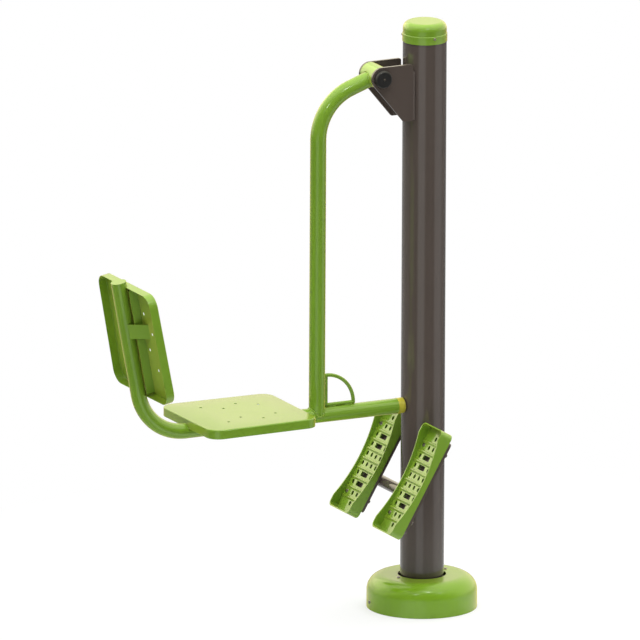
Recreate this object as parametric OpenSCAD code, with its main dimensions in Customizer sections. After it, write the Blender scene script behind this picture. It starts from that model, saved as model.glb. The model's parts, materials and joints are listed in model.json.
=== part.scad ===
// Outdoor leg press machine: a swinging seat hung from a single post, with two fixed foot pedals.
// The origin is on the ground on the post's axis. The seat is on the -X side, +Z is up.

/* [Post] */
// Outside diameter of the post
post_d = 141; // [128:1:150]
// Wall thickness of the post
post_wall = 6; // [4:0.5:8]
// Height of the post's top end above the ground
post_top = 1893; // [1870:1:2000]

/* [Base] */
// Diameter of the base plate
plate_d = 336; // [310:2:344]
// Thickness of the base plate
plate_t = 25; // [12:1:28]
// Diameter of the circle through the anchor holes
anchor_pcd = 260; // [240:2:280]
// Diameter of each anchor hole
anchor_hole_d = 18; // [14:1:22]
// Length of each rib along the base plate
rib_foot = 70; // [40:1:80]
// Thickness of the ribs
rib_t = 8; // [5:1:12]
// Diameter of the base cover
cover_d = 355; // [352:1:380]
// Height of the base cover
cover_h = 106; // [100:1:120]
// Radius of the cover's rounded shoulder
cover_round = 52; // [30:1:54]
// Wall thickness of the base cover
cover_wall = 3; // [2:0.5:4]
// Gap between the post and the cover's hole
cover_post_gap = 7; // [3:1:10]
// Gap between the two halves of the cover
cover_seam = 0.6; // [0.2:0.1:1.5]

/* [Post cap] */
// Height of the cap's lower rim above the ground
cap_bottom = 1868.5; // [1855:0.5:1870]
// Wall thickness of the cap's skirt
cap_wall = 1.6; // [1.5:0.1:4]
// Height of the cap above the post's top end
cap_rise = 39; // [32:1:60]
// Radius of the cap's rounded shoulder
cap_round = 22; // [10:1:28]
// Distance of the cap screws below the post's top end
cap_screw_drop = 6; // [6:0.5:14]

/* [Pivot] */
// Height of the pivot axis above the ground
pivot_z = 1770; // [1700:5:1790]
// Distance of the pivot axis in front of the post's axis
pivot_reach = 175; // [160:1:200]
// Distance between the inner faces of the cheek plates
cheek_gap = 80; // [72:1:84]
// Thickness of each cheek plate
cheek_t = 8; // [6:1:12]
// Radius of the cheek plates' nose round the pivot
cheek_nose_r = 36.5; // [34:0.5:44]
// Height of the cheek plates' rear edge
cheek_h = 187; // [140:1:220]
// Distance between the cheek plates' rear edge and the post's axis
cheek_rear = 64; // [62:0.5:72]
// Length of the cheek plates' level lower edge
cheek_foot = 34; // [20:1:50]
// Diameter of the pivot shaft
shaft_d = 25; // [22:0.5:28]
// Diameter of the pivot covers
pivot_cover_d = 57; // [54:1:66]
// Depth of the pivot covers
pivot_cover_h = 18; // [17:0.5:24]

/* [Bearings] */
// Outside diameter of the bearings
bearing_d = 52; // [50:1:56]
// Width of each bearing
bearing_w = 15; // [13:0.5:18]
// Balls in each bearing
ball_count = 9; // [7:1:9]
// Outside diameter of the hub
hub_d = 72; // [64:1:73]

/* [Swing arm] */
// Outside diameter of the swing arm's tube
arm_d = 52; // [42:0.5:60]
// Wall thickness of the swing's tubes
tube_wall = 2; // [2:0.25:4]
// Distance of the swing arm's upright in front of the post's axis
arm_reach = 379; // [360:1:420]
// Radius of the arm's bend, on its centreline
arm_bend_r = 168; // [110:1:175]
// Slope of the arm's upper end
arm_slope = 19.3; // [10:0.1:30]
// Diameter of the round bar of the corner brace
brace_bar_d = 12; // [8:0.5:16]
// Radius of the corner brace, on the bar's centreline
brace_r = 98; // [70:1:130]

/* [Seat frame] */
// Outside diameter of the seat frame's tube
frame_d = 50; // [42:0.5:54]
// Height of the seat beam's centreline
beam_z = 669.5; // [640:0.5:700]
// Length of the bumper that shows between the beam and the post
bumper_l = 24.5; // [15:0.5:40]
// Clearance between the bumper and the post
bumper_gap = 0.3; // [0.1:0.1:1]
// Length of the straight beam, from the bumper to the bend
beam_run = 755; // [740:1:800]
// Radius of the seat frame's bend, on its centreline
frame_bend_r = 170; // [140:1:190]
// Backward lean of the backrest
back_lean = 11; // [5:0.25:20]
// Length of the straight tube behind the backrest
back_run = 388; // [380:1:450]

/* [Seat and backrest] */
// Length of the seat pan
seat_l = 388; // [360:1:392]
// Length of the backrest pan
back_l = 373; // [350:1:384]
// Width of the pans at their wide end
pan_w = 385; // [350:1:420]
// Width of the pans at their narrow end
pan_w_narrow = 367; // [340:1:400]
// Thickness of the pans' sheet
pan_t = 1.5; // [1.5:0.25:3]
// Corner radius of the pans
pan_corner = 42; // [20:1:60]
// Depth of the pans' rims
pan_rim = 30; // [26:0.5:36]
// Distance of the seat pan's centre in front of the post's axis
seat_reach = 654; // [648:1:660]
// Distance of the backrest pan's upper edge below the tube's top end
back_head = 17; // [0:1:30]
// Depth to which the tube sits in the rims' notches
notch_depth = 13.5; // [8:0.5:16]
// Diameter of the drain holes
drain_d = 10; // [6:0.5:14]
// Spacing of the rows of drain holes
drain_pitch = 62; // [50:1:75]
// Distance of the inner drain holes from the middle
drain_inner = 62; // [54:1:70]
// Distance of the outer drain holes from the middle
drain_outer = 101; // [92:1:120]
// Distance of the drain holes' middle from the pans' middle
drain_shift = 3; // [0:1:12]
// Width of the channel under each pan
channel_w = 84; // [76:1:96]
// Thickness of the channels and straps
channel_t = 2; // [1.5:0.25:4]
// Length of the strap plates along the tube
strap_l = 49; // [30:1:80]
// Distance of the strap plates' outer edges from the middle
strap_reach = 80; // [70:1:88]
// Distance of the backrest's strap plates above its pan's middle
strap_rise = 39; // [0:1:60]

/* [Pedals] */
// Distance of each pedal's middle from the machine's middle
pedal_side = 154; // [150:1:180]
// Distance of the pedals' middle in front of the post's axis
pedal_reach = 106; // [100:1:112]
// Height of the pedals' middle
pedal_z = 454; // [440:1:470]
// Lean of the pedals towards the post
pedal_tilt = 30; // [20:0.5:40]
// Length of each pedal
pedal_l = 375; // [350:1:400]
// Width of each pedal
pedal_w = 140; // [132:1:150]
// Wall and floor thickness of the pedals
pedal_wall = 4; // [3:0.5:6]
// Height of the pedal walls at the ends
rim_high = 30; // [24:1:40]
// Height of the pedal walls at the middle
rim_low = 9; // [6:0.5:14]
// Depth of the pedal walls behind the floor's face
pedal_back = 12; // [9:0.5:16]
// Spacing of the rows of holes in the pedal floor
row_pitch = 34; // [32:0.5:36]
// Spacing of the slots in a row
slot_pitch = 30; // [26:0.5:32]
// Width of a slot
slot_w = 13; // [5:0.5:14]
// Length of a slot
slot_l = 16; // [14:0.5:18]
// Distance of the pedal bolts above and below the pedal's middle
bolt_along = 121; // [118:0.5:124]
// Distance of the pedal bolts from the pedal's middle line
bolt_side = 52; // [48:0.5:54]
// Length of the pedal mounting plates
mount_l = 324; // [300:1:340]
// Width of the pedal mounting plates
mount_w = 134; // [118:1:138]
// Thickness of the pedal mounting plates
mount_t = 11; // [6:0.5:12]
// Outside diameter of the crossbar
bar_d = 38; // [30:0.5:45]
// Wall thickness of the crossbar
bar_wall = 3; // [2:0.5:5]
// Length of the crossbar
bar_l = 300; // [280:2:340]

/* [Fits] */
// Gap that a weld bead fills at its root
weld_root = 1; // [0.5:0.1:1.5]
// Clearance of parts that slide over each other once, when fitted
fit_gap = 0.3; // [0.1:0.05:0.5]
// Running clearance inside the bearings
run_gap = 0.06; // [0.03:0.01:0.1]

/* [Hidden] */

// Colours as the machine is painted
green = [0.50, 0.75, 0.13];
brown_grey = [0.30, 0.27, 0.25];
black = [0.08, 0.08, 0.08];
yellow = [0.75, 0.68, 0.15];
zinc = [0.66, 0.66, 0.68];
steel = [0.75, 0.76, 0.78];

// Smoothness of round surfaces
$fn = 96;
// Overlap that lets a cut run past a face
cut = 1;
// Height and length of the discs over the ends of a tube's bend
lap = 0.2;
lap_l = 3;

// Post and base
post_r = post_d / 2;
cover_r = cover_d / 2;
cover_hole_r = post_r + cover_post_gap;
anchor_count = 4;
rib_count = 4;
rib_tip_h = 12;
// The cover rests on the ribs
rib_h = cover_h - cover_wall - plate_t;

// Screws: thread, head diameter, head height, length
// A head's top is head_taper as wide as its foot
// A socket is socket_across as wide as the thread, and its floor lies at socket_floor of the head's height
head_taper = 0.72;
socket_across = 0.7;
socket_floor = 0.4;
cover_screw = [6, 12, 3.4, 9];
cap_screw = [5, 9, 2.6, 8];
hub_screw = [5, 9, 2.4, 12];

// Overlapping tabs that join the cover's halves
tab_t = 3;
tab_gap = 0.2;
tab_setback = 2;
top_tab_w = 22;
top_tab_reach = 30;
top_screw_r = 95;
top_screw_turn = 11;
side_tab_h = 30;
side_tab_turn = 10;
side_screw_z = 26;
side_screw_turn = 6;
top_screw_x = top_screw_r * cos(top_screw_turn);
top_screw_y = top_screw_r * sin(top_screw_turn);

// Cap
cap_skirt_r = post_r + fit_gap + cap_wall;
cap_step = cap_skirt_r - post_r;
cap_top = post_top + cap_rise;
cap_screw_z = post_top - cap_screw_drop;
cap_screw_turns = [-90, 30, 150];

// Pivot
pivot_x = -pivot_reach;
cheek_in = cheek_gap / 2;
cheek_out = cheek_in + cheek_t;
cheek_top = pivot_z + cheek_nose_r;
cheek_bottom = cheek_top - cheek_h;
cheek_corner_r = 7;
cheek_foot_r = 2;
cheek_relief = 24;
washer_d = 44;
washer_t = 4;
shaft_bolt_d = 12;
shaft_bolt_head = 7.5;
shaft_bolt_l = 30;
shaft_bolt_flats = 19;
pivot_cover_wall = 2.5;
pivot_cover_round = 6;

// Bearings and hub
hub_r = hub_d / 2;
hub_side_gap = 0.5;
hub_l = cheek_gap - 2 * hub_side_gap;
bearing_inset = 1.5;
bearing_y = hub_l / 2 - bearing_inset - bearing_w / 2;
bearing_r = bearing_d / 2;
shaft_r = shaft_d / 2;
ball_orbit = (bearing_r + shaft_r) / 2;
ball_share = 0.29;
ball_r = (bearing_r - shaft_r) * ball_share;
// The rings' grooves leave this share of the ball's radius open on each side
groove_share = 0.7;
inner_ring_r = ball_orbit - ball_r * groove_share;
outer_ring_r = ball_orbit + ball_r * groove_share;
cage_t = 1.6;
cage_over = 3;
cage_w = 2 * ball_r + cage_over;
shield_t = 1;
hub_shoulder = 3;

// Swing arm: its last straight run points at the pivot
arm_x = -arm_reach;
arm_r = arm_d / 2;
arm_turn = 90 - arm_slope;
arm_end_run = (pivot_x - arm_x - arm_bend_r * (1 - sin(arm_slope))) / cos(arm_slope);
arm_bend_z = pivot_z - arm_end_run * sin(arm_slope) - arm_bend_r * cos(arm_slope);
arm_rise = arm_bend_z - beam_z;

// Seat frame
frame_r = frame_d / 2;
frame_bore_r = frame_r - tube_wall;
bumper_x = -post_r - bumper_gap;
beam_start = bumper_x - bumper_l;
bumper_over = 0.5;
bumper_r = frame_r + bumper_over;
bumper_bevel = 3;
bumper_spigot = 22;
bumper_spigot_gap = 0.1;
end_disc_t = 3;
frame_turn = 90 - back_lean;
brace_bar_r = brace_bar_d / 2;

// Pans, in a frame with x along the tube, y across and z out of the sitter's side
pan_drop = pan_rim - notch_depth + frame_r;
seat_top = beam_z + pan_drop;
channel_end_gap = 8;
drain_rows = 4;
// Angle round the tube, from its widest place, at which the strap plates meet it
strap_turn = 6;

// Pedals
pedal_corner = 18;
mount_corner = 10;
boss_d = 18;
pedal_bolt = [8, 14, 4.4];
pedal_bolt_hole = 9;
pedal_washer_d = 16;
pedal_washer_t = 1.6;
pedal_nut_flats = 13;
pedal_nut_t = 6.5;
pedal_bolt_tail = 2;
pedal_stack = pedal_back + mount_t;
pedal_bolt_l = pedal_stack + pedal_washer_t + pedal_nut_t + pedal_bolt_tail;
ridge_h = 3;
ridge_top = 3;
ridge_slope = 6;
ridge_steep = 1.5;
window_w = 44;
window_l = 16;
window_corner = 2;
dip_half = 150;
dip_depth = rim_high - rim_low;
dip_r = (dip_half * dip_half + dip_depth * dip_depth) / (2 * dip_depth);
row_count = 10;

// Crossbar: it touches the backs of both mounting plates and the front of the post
bar_r = bar_d / 2;
bar_x = -post_r - weld_root - bar_r;
bar_behind = pedal_stack + weld_root + bar_r;
bar_z = pedal_z - (bar_behind - (bar_x + pedal_reach) * cos(pedal_tilt)) / sin(pedal_tilt);
bar_along = (bar_z - pedal_z) * cos(pedal_tilt) + (bar_x + pedal_reach) * sin(pedal_tilt);
plug_t = 2;
plug_depth = 12;

// Welds
bar_weld_h = 18;
bar_weld_deep = 6;
post_weld_l = 56;
plate_end_gap = 6;
bar_end_gap = 4;
plate_weld_in = mount_w / 2 - plate_end_gap;
plate_weld_out = bar_l / 2 - pedal_side - bar_end_gap;
base_weld = 6;
cheek_weld_over = 2;
cheek_weld_rise = 3;

// Helpers for plane outlines

function unit(v) = v / norm(v);
function corner_half(a, b, c) = acos(unit(a - b) * unit(c - b)) / 2;
function touch_length(a, b, c, r) = r / tan(corner_half(a, b, c));
function corner_centre(a, b, c, r) =
  b + unit(unit(a - b) + unit(c - b)) * r / sin(corner_half(a, b, c));

// A convex outline through the given corners, each rounded with its own radius
module rounded_outline(corners, radii) {
  n = len(corners);
  touch = [for (i = [0:n - 1])
    let (a = corners[(i + n - 1) % n], b = corners[i], c = corners[(i + 1) % n],
         t = touch_length(a, b, c, radii[i]))
    each [b + unit(a - b) * t, b + unit(c - b) * t]];
  union() {
    polygon(touch);
    for (i = [0:n - 1])
      translate(corner_centre(corners[(i + n - 1) % n], corners[i], corners[(i + 1) % n], radii[i]))
        circle(r = radii[i]);
  }
}

module rounded_rectangle(l, w, r) {
  rounded_outline([[-l / 2, -w / 2], [l / 2, -w / 2], [l / 2, w / 2], [-l / 2, w / 2]], [r, r, r, r]);
}

// An outline with straight sides l long in all and w wide, with round ends
module slot_outline(l, w) {
  square([l - w, w], center = true);
  for (s = [-1, 1]) translate([s * (l - w) / 2, 0]) circle(d = w, $fn = 32);
}

// A plane outline drawn in x and z, raised along y from y0 to y1
module upright(y0, y1) {
  translate([0, y1, 0]) rotate([90, 0, 0]) linear_extrude(height = y1 - y0) children();
}

// A rod along z, bent towards +x: straight, bend, straight
// A thin disc lies over each end of the bend, so that the three lengths are one solid
module bent_rod(d, first, bend_r, turn, last) {
  cylinder(d = d, h = first);
  translate([0, 0, first]) cylinder(d = d + 2 * lap, h = lap_l, center = true);
  translate([bend_r, 0, first]) rotate([90, 0, 0]) rotate([0, 0, 180 - turn])
    rotate_extrude(angle = turn) translate([bend_r, 0]) circle(d = d);
  translate([bend_r * (1 - cos(turn)), 0, first + bend_r * sin(turn)]) rotate([0, turn, 0]) {
    cylinder(d = d, h = last);
    cylinder(d = d + 2 * lap, h = lap_l, center = true);
  }
}

// A screw with a low round head and a hexagon socket; the head sits on z = 0
module round_head_screw(size) {
  thread = size[0];
  head_d = size[1];
  head_h = size[2];
  difference() {
    union() {
      cylinder(d1 = head_d, d2 = head_d * head_taper, h = head_h, $fn = 48);
      translate([0, 0, -size[3]]) cylinder(d = thread, h = size[3] + cut, $fn = 32);
    }
    translate([0, 0, head_h * socket_floor]) cylinder(d = thread * socket_across, h = head_h, $fn = 6);
  }
}

module ring(outer_r, inner_r, h) {
  difference() {
    cylinder(r = outer_r, h = h, center = true);
    cylinder(r = inner_r, h = h + 2 * cut, center = true);
  }
}

// Base

module base_plate() {
  color(brown_grey)
  difference() {
    cylinder(d = plate_d, h = plate_t);
    for (i = [0:anchor_count - 1])
      rotate([0, 0, i * 360 / anchor_count]) translate([anchor_pcd / 2, 0, -cut])
        cylinder(d = anchor_hole_d, h = plate_t + 2 * cut, $fn = 48);
  }
}

module base_ribs() {
  color(brown_grey)
  difference() {
    for (i = [0:rib_count - 1])
      rotate([0, 0, (i + 0.5) * 360 / rib_count]) upright(-rib_t / 2, rib_t / 2)
        polygon([
          [post_r - cut, plate_t],
          [post_r + rib_foot, plate_t],
          [post_r + rib_foot, plate_t + rib_tip_h],
          [post_r + rib_tip_h, plate_t + rib_h],
          [post_r - cut, plate_t + rib_h]
        ]);
    cylinder(r = post_r, h = plate_t + rib_h + cut);
  }
}

module post_tube() {
  color(brown_grey)
  difference() {
    translate([0, 0, plate_t]) cylinder(r = post_r, h = post_top - plate_t);
    translate([0, 0, plate_t - cut]) cylinder(r = post_r - post_wall, h = post_top - plate_t + 2 * cut);
    for (turn = cap_screw_turns)
      rotate([0, 0, turn]) translate([post_r - post_wall - cut, 0, cap_screw_z]) rotate([0, 90, 0])
        cylinder(d = cap_screw[0], h = post_wall + 2 * cut, $fn = 32);
  }
}

// The cover's cross-section, drawn smaller by inset
module cover_section(inset) {
  square([cover_r - cover_round, cover_h - inset]);
  square([cover_r - inset, cover_h - cover_round]);
  translate([cover_r - cover_round, cover_h - cover_round]) circle(r = cover_round - inset);
}

// The half shell on the -Y side, set back from the seam
module cover_shell() {
  difference() {
    rotate([0, 0, 180]) rotate_extrude(angle = 180) difference() {
      cover_section(0);
      translate([0, -cut]) square([cover_hole_r, cover_h + 2 * cut]);
      cover_section(cover_wall);
      translate([0, -cut]) square([cover_r - cover_wall, 2 * cut]);
    }
    translate([-cover_d, -cover_seam / 2, -cut]) cube([2 * cover_d, cover_d, cover_h + 2 * cut]);
  }
}

// One half of the cover, on the -Y side; the other half is the same piece turned round
module cover_half() {
  difference() {
    union() {
      cover_shell();
      cover_tabs();
    }
    for (hole = [[-top_screw_x, -top_screw_y, cover_screw[0] + 2 * fit_gap],
                 [top_screw_x, top_screw_y, cover_screw[0]]])
      translate([hole[0], hole[1], cover_h - cover_wall - tab_t - cut])
        cylinder(d = hole[2], h = cover_wall + tab_t + 2 * cut, $fn = 32);
    for (hole = [[-side_screw_turn, cover_screw[0] + 2 * fit_gap],
                 [180 - side_screw_turn, cover_screw[0]]])
      rotate([0, 0, hole[0]]) translate([cover_r - cover_wall - tab_t - cut, 0, side_screw_z])
        rotate([0, 90, 0]) cylinder(d = hole[1], h = cover_wall + tab_t + 2 * cut, $fn = 32);
  }
}

// Tabs that reach under the other half: one under its top, one behind its skirt
module cover_tabs() {
  top_under = cover_h - cover_wall;
  skirt_in = cover_r - cover_wall;
  translate([top_screw_x - top_tab_w / 2, -top_tab_reach, top_under - tab_t]) {
    cube([top_tab_w, 2 * top_tab_reach, tab_t - tab_gap]);
    cube([top_tab_w, top_tab_reach - tab_setback, tab_t + cut]);
  }
  translate([0, 0, side_screw_z - side_tab_h / 2]) {
    rotate([0, 0, 180 - side_tab_turn]) rotate_extrude(angle = 2 * side_tab_turn)
      translate([skirt_in - tab_t, 0]) square([tab_t - tab_gap, side_tab_h]);
    rotate([0, 0, 180 + tab_setback]) rotate_extrude(angle = side_tab_turn - tab_setback)
      translate([skirt_in - tab_t, 0]) square([tab_t + cut, side_tab_h]);
  }
}

module base_cover_near() {
  color(green) cover_half();
}

module base_cover_far() {
  color(green) rotate([0, 0, 180]) cover_half();
}

module cover_top_screws() {
  color(zinc)
  for (s = [-1, 1])
    translate([s * top_screw_x, s * top_screw_y, cover_h]) round_head_screw(cover_screw);
}

module cover_side_screws() {
  color(zinc)
  for (turn = [-side_screw_turn, 180 - side_screw_turn])
    rotate([0, 0, turn]) translate([cover_r, 0, side_screw_z]) rotate([0, 90, 0])
      round_head_screw(cover_screw);
}

// Post cap

module cap_body(inset) {
  top = cap_top - inset;
  square([post_r - cap_round, top]);
  square([post_r - inset, cap_top - cap_round]);
  translate([post_r - cap_round, cap_top - cap_round]) circle(r = cap_round - inset);
}

module post_cap() {
  color(green)
  difference() {
    rotate_extrude() difference() {
      union() {
        intersection() {
          cap_body(0);
          translate([0, cap_bottom]) square([post_r, cap_top - cap_bottom]);
        }
        polygon([
          [0, cap_bottom], [cap_skirt_r, cap_bottom], [cap_skirt_r, post_top],
          [cap_skirt_r - cap_step, post_top + cap_step], [0, post_top + cap_step]
        ]);
      }
      translate([0, cap_bottom - cut]) square([post_r + fit_gap, post_top - cap_bottom + cut]);
      intersection() {
        cap_body(cap_wall);
        translate([0, post_top - cut]) square([post_r, cap_rise + cut]);
      }
    }
    for (turn = cap_screw_turns)
      rotate([0, 0, turn]) translate([post_r - cut, 0, cap_screw_z]) rotate([0, 90, 0])
        cylinder(d = cap_screw[0] + 2 * fit_gap, h = cap_wall + 3 * cut, $fn = 32);
  }
}

module cap_screws() {
  color(zinc)
  for (turn = cap_screw_turns)
    rotate([0, 0, turn]) translate([cap_skirt_r, 0, cap_screw_z]) rotate([0, 90, 0])
      round_head_screw(cap_screw);
}

// Pivot bracket

// The lower front corner of the cheek plates, and the tip where the tangents of the nose meet
cheek_heel = [-cheek_rear - cheek_foot, cheek_bottom];
cheek_to_nose = [pivot_x, pivot_z] - cheek_heel;
cheek_edge_turn = atan2(cheek_to_nose[1], cheek_to_nose[0]) + asin(cheek_nose_r / norm(cheek_to_nose));
cheek_tip = [cheek_heel[0] + cheek_h / tan(cheek_edge_turn), cheek_top];

module cheek_outline() {
  rounded_outline(
    [cheek_heel, [-cheek_rear, cheek_bottom], [-cheek_rear, cheek_top], cheek_tip],
    [cheek_corner_r, cheek_foot_r, cheek_corner_r, cheek_nose_r]
  );
}

module cheek_plate(y0) {
  difference() {
    upright(y0, y0 + cheek_t) cheek_outline();
    translate([pivot_x, y0 - cut, pivot_z]) rotate([-90, 0, 0])
      cylinder(r = shaft_r, h = cheek_t + 2 * cut);
  }
}

module cheek_plate_near() {
  color(brown_grey) cheek_plate(-cheek_out);
}

module cheek_plate_far() {
  color(brown_grey) cheek_plate(cheek_in);
}

module pivot_shaft() {
  color(steel)
  translate([pivot_x, 0, pivot_z]) rotate([90, 0, 0]) difference() {
    cylinder(r = shaft_r, h = 2 * cheek_out, center = true);
    for (s = [0, 180])
      rotate([s, 0, 0]) translate([0, 0, cheek_out - shaft_bolt_l])
        cylinder(d = shaft_bolt_d, h = shaft_bolt_l + cut, $fn = 48);
  }
}

// Places a child at each end of the shaft, with z outwards from the cheek plate's outer face
module at_shaft_ends() {
  for (s = [-1, 1])
    translate([pivot_x, s * cheek_out, pivot_z]) rotate([-s * 90, 0, 0]) children();
}

module shaft_washers() {
  color(zinc)
  at_shaft_ends() translate([0, 0, washer_t / 2])
    ring(washer_d / 2, shaft_bolt_d / 2 + fit_gap, washer_t);
}

module shaft_bolts() {
  head_across = shaft_bolt_flats / cos(30);
  color(zinc)
  at_shaft_ends() difference() {
    union() {
      translate([0, 0, washer_t]) cylinder(d = head_across, h = shaft_bolt_head, $fn = 6);
      translate([0, 0, -shaft_bolt_l + cut])
        cylinder(d = shaft_bolt_d, h = shaft_bolt_l + washer_t, $fn = 48);
    }
    translate([0, 0, pivot_cover_h - hub_screw[3] - cut])
      cylinder(d = hub_screw[0], h = hub_screw[3], $fn = 32);
  }
}

module pivot_cover() {
  r = pivot_cover_d / 2;
  inner_round = pivot_cover_round - pivot_cover_wall;
  rotate_extrude() difference() {
    union() {
      square([r, pivot_cover_h - pivot_cover_round]);
      square([r - pivot_cover_round, pivot_cover_h]);
      translate([r - pivot_cover_round, pivot_cover_h - pivot_cover_round])
        circle(r = pivot_cover_round, $fn = 48);
    }
    translate([0, -cut]) square([r - pivot_cover_wall, pivot_cover_h - pivot_cover_round + cut]);
    square([r - pivot_cover_round, pivot_cover_h - pivot_cover_wall]);
    translate([r - pivot_cover_round, pivot_cover_h - pivot_cover_round])
      circle(r = inner_round, $fn = 48);
    square([hub_screw[0] / 2 + fit_gap, pivot_cover_h + cut]);
  }
}

module pivot_cover_near() {
  color(black) translate([pivot_x, -cheek_out, pivot_z]) rotate([90, 0, 0]) pivot_cover();
}

module pivot_cover_far() {
  color(black) translate([pivot_x, cheek_out, pivot_z]) rotate([-90, 0, 0]) pivot_cover();
}

module pivot_cover_screws() {
  color(zinc)
  at_shaft_ends() translate([0, 0, pivot_cover_h]) round_head_screw(hub_screw);
}

// Bearings

module at_bearings() {
  for (s = [-1, 1])
    translate([pivot_x, s * bearing_y, pivot_z]) rotate([90, 0, 0]) children();
}

module bearing_ring(inner, outer) {
  rotate_extrude() difference() {
    translate([inner, -bearing_w / 2]) square([outer - inner, bearing_w]);
    translate([ball_orbit, 0]) circle(r = ball_r + run_gap, $fn = 48);
  }
}

module bearing_inner_rings() {
  color(steel) at_bearings() bearing_ring(shaft_r, inner_ring_r);
}

module bearing_outer_rings() {
  color(steel) at_bearings() bearing_ring(outer_ring_r, bearing_r);
}

module bearing_balls() {
  color(steel)
  at_bearings() for (i = [0:ball_count - 1])
    rotate([0, 0, i * 360 / ball_count]) translate([ball_orbit, 0, 0]) sphere(r = ball_r, $fn = 32);
}

module bearing_cages() {
  color(yellow)
  at_bearings() difference() {
    ring(ball_orbit + cage_t / 2, ball_orbit - cage_t / 2, cage_w);
    for (i = [0:ball_count - 1])
      rotate([0, 0, i * 360 / ball_count]) translate([ball_orbit - cage_t, 0, 0]) rotate([0, 90, 0])
        cylinder(r = ball_r + run_gap, h = 2 * cage_t, $fn = 32);
  }
}

module bearing_shields() {
  color(black)
  for (s = [-1, 1], t = [-1, 1])
    translate([pivot_x, s * bearing_y + t * (bearing_w - shield_t) / 2, pivot_z]) rotate([90, 0, 0])
      ring(outer_ring_r, inner_ring_r + run_gap, shield_t);
}

module bearing_inner_spacer() {
  color(zinc)
  translate([pivot_x, 0, pivot_z]) rotate([90, 0, 0])
    ring(inner_ring_r, shaft_r, 2 * bearing_y - bearing_w);
}

module bearing_end_spacers() {
  inside = bearing_y + bearing_w / 2;
  color(zinc)
  for (s = [-1, 1])
    translate([pivot_x, s * (inside + cheek_in) / 2, pivot_z]) rotate([90, 0, 0])
      ring(inner_ring_r, shaft_r, cheek_in - inside);
}

module pivot_hub() {
  color(green)
  translate([pivot_x, 0, pivot_z]) rotate([90, 0, 0]) difference() {
    cylinder(r = hub_r, h = hub_l, center = true);
    cylinder(r = bearing_r - hub_shoulder, h = hub_l + 2 * cut, center = true);
    for (s = [0, 180])
      rotate([s, 0, 0]) translate([0, 0, bearing_y - bearing_w / 2]) cylinder(r = bearing_r, h = hub_l);
  }
}

// Pedals

// Puts a child that stands upright and faces -X in a pedal's place
module at_pedal(side) {
  translate([-pedal_reach, side * pedal_side, pedal_z]) rotate([0, pedal_tilt, 0]) children();
}

// A plane outline with its length along z and its width along y, raised from x0 to x1
module facing(x0, x1) {
  translate([x0, 0, 0]) rotate([0, 90, 0]) linear_extrude(height = x1 - x0) children();
}

// Number of slots in a row, and whether the row has a wide window in its middle
function row_slots(i) = [1, 2, 2, 2, 4][min(i, row_count - 1 - i)];
function row_window(i) = [false, false, true, true, false][min(i, row_count - 1 - i)];
function row_z(i) = (i - (row_count - 1) / 2) * row_pitch;

module pedal_holes() {
  for (i = [0:row_count - 1]) {
    count = row_slots(i);
    spread = row_window(i) ? 3 * slot_pitch : slot_pitch;
    for (j = [0:count - 1])
      translate([0, (j - (count - 1) / 2) * spread, row_z(i)])
        facing(-ridge_h - cut, pedal_wall + cut) slot_outline(slot_l, slot_w);
    if (row_window(i))
      translate([0, 0, row_z(i)]) facing(-ridge_h - cut, pedal_wall + cut)
        rounded_rectangle(window_l, window_w, window_corner);
  }
}

// Cross ridges between the rows: a steep upper side and a long lower slope
module pedal_ridges() {
  for (i = [0:row_count - 2])
    translate([0, 0, row_z(i) + row_pitch / 2]) upright(-pedal_w / 2 + cut, pedal_w / 2 - cut)
      polygon([
        [cut, -ridge_top / 2 - ridge_slope], [0, -ridge_top / 2 - ridge_slope],
        [-ridge_h, -ridge_top / 2], [-ridge_h, ridge_top / 2],
        [0, ridge_top / 2 + ridge_steep], [cut, ridge_top / 2 + ridge_steep]
      ]);
}

module foot_pedal() {
  difference() {
    union() {
      difference() {
        facing(-rim_high, pedal_back) rounded_rectangle(pedal_l, pedal_w, pedal_corner);
        facing(-rim_high - cut, 0)
          rounded_rectangle(pedal_l - 2 * pedal_wall, pedal_w - 2 * pedal_wall, pedal_corner - pedal_wall);
        facing(pedal_wall, pedal_back + cut)
          rounded_rectangle(pedal_l - 2 * pedal_wall, pedal_w - 2 * pedal_wall, pedal_corner - pedal_wall);
        translate([-rim_low - dip_r, 0, 0]) rotate([90, 0, 0])
          cylinder(r = dip_r, h = pedal_w + 2 * cut, center = true, $fn = 360);
      }
      pedal_ridges();
      for (a = [-1, 1], b = [-1, 1])
        translate([0, b * bolt_side, a * bolt_along]) rotate([0, 90, 0])
          cylinder(d = boss_d, h = pedal_back, $fn = 48);
    }
    pedal_holes();
    for (a = [-1, 1], b = [-1, 1])
      translate([-rim_high, b * bolt_side, a * bolt_along]) rotate([0, 90, 0]) {
        cylinder(d = pedal_bolt_hole, h = rim_high + pedal_back + cut, $fn = 48);
        cylinder(d = boss_d, h = rim_high, $fn = 48);
      }
  }
}

module foot_pedal_near() {
  color(green) at_pedal(-1) foot_pedal();
}

module foot_pedal_far() {
  color(green) at_pedal(1) foot_pedal();
}

module pedal_mount() {
  difference() {
    facing(pedal_back, pedal_stack) rounded_rectangle(mount_l, mount_w, mount_corner);
    for (a = [-1, 1], b = [-1, 1])
      translate([pedal_back - cut, b * bolt_side, a * bolt_along]) rotate([0, 90, 0])
        cylinder(d = pedal_bolt_hole, h = mount_t + 2 * cut, $fn = 48);
  }
}

module pedal_mount_near() {
  color(brown_grey) at_pedal(-1) pedal_mount();
}

module pedal_mount_far() {
  color(brown_grey) at_pedal(1) pedal_mount();
}

// Places a child at each pedal bolt, with z along the bolt from its head
module at_pedal_bolts() {
  for (side = [-1, 1], a = [-1, 1], b = [-1, 1])
    at_pedal(side) translate([0, b * bolt_side, a * bolt_along]) rotate([0, 90, 0]) children();
}

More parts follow.
